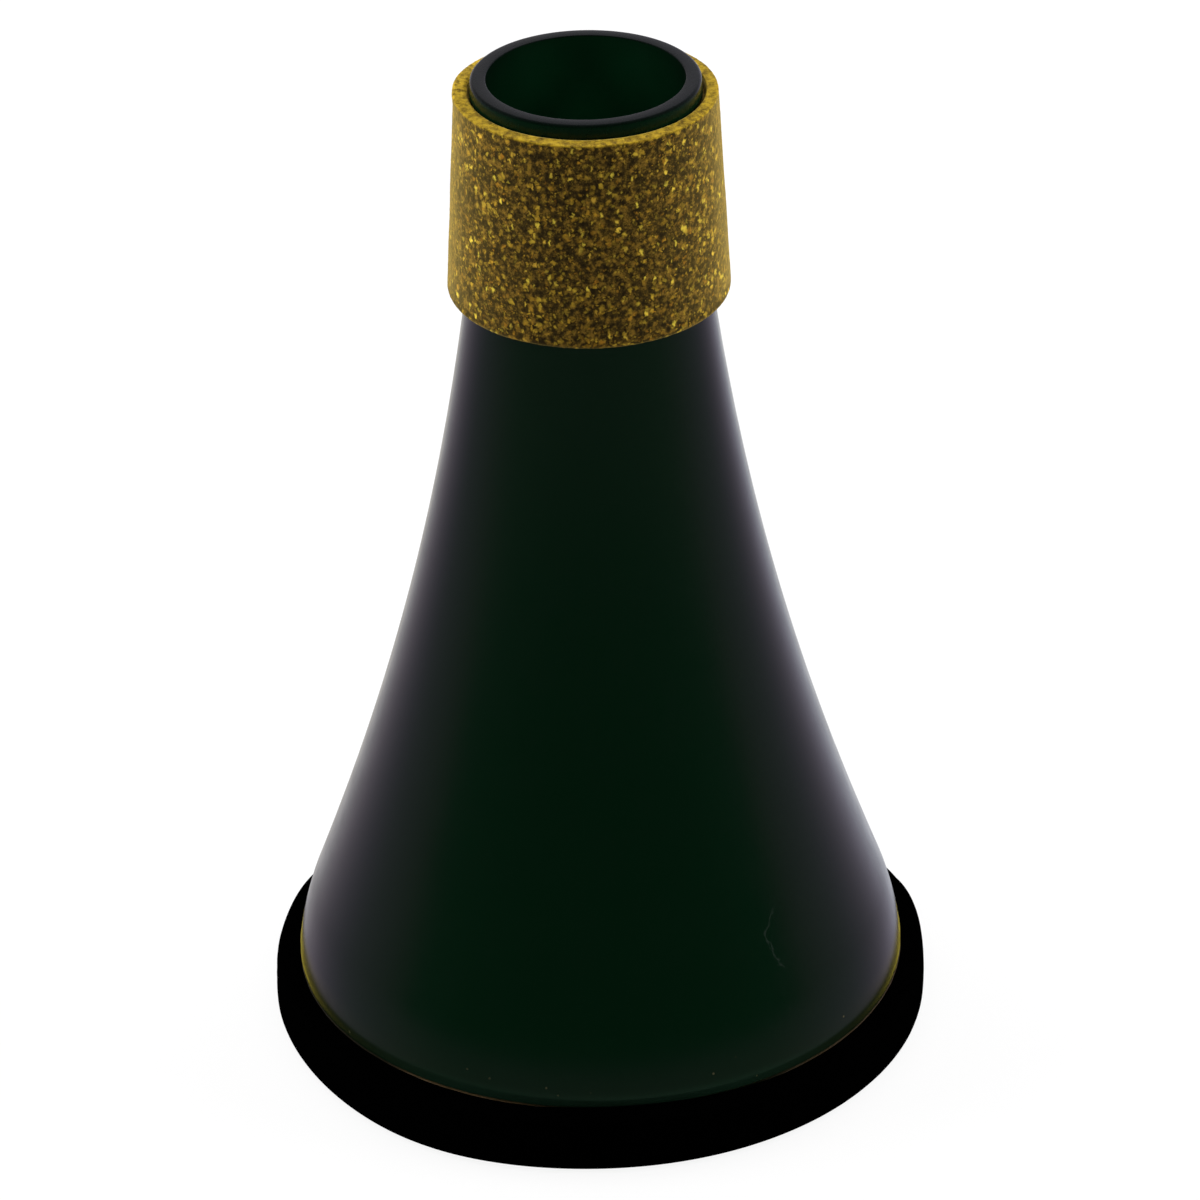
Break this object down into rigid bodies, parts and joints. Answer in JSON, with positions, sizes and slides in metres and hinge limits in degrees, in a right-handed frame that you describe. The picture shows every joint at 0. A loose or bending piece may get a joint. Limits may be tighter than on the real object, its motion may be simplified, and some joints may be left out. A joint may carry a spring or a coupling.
{
  "type": "piccolo trumpet practice mute",
  "caption": "Hollow flared practice mute with a cork-covered neck, a closed foot with an air tube, and an overhanging foam pad to stand on.",
  "frame": {"origin": "middle of the foam pad's underside, where the mute stands", "axes": "+Z along the axis of the body, from the pad to the mouth; X and Y across, with nothing to tell them apart"},
  "size_m": [0.0808, 0.0808, 0.1251],
  "materials": {
    "shell_plastic": "moulded black plastic with a satin gloss and a faint green cast",
    "cork": "sanded agglomerated cork, fine granules, matt",
    "plate_plastic": "moulded black plastic, matt",
    "tube_plastic": "extruded black plastic tube",
    "damping_foam": "open-cell foam, matt",
    "adhesive_film": "thin brown contact adhesive",
    "pad_foam": "dense black closed-cell foam, matt"
  },
  "bodies": {
    "root": {"body_shell": "shell_plastic", "cork_sleeve": "cork", "base_plate": "plate_plastic", "vent_tube": "tube_plastic", "damping_ring": "damping_foam", "pad_film": "adhesive_film", "base_pad": "pad_foam"}
  },
  "joints": []
}
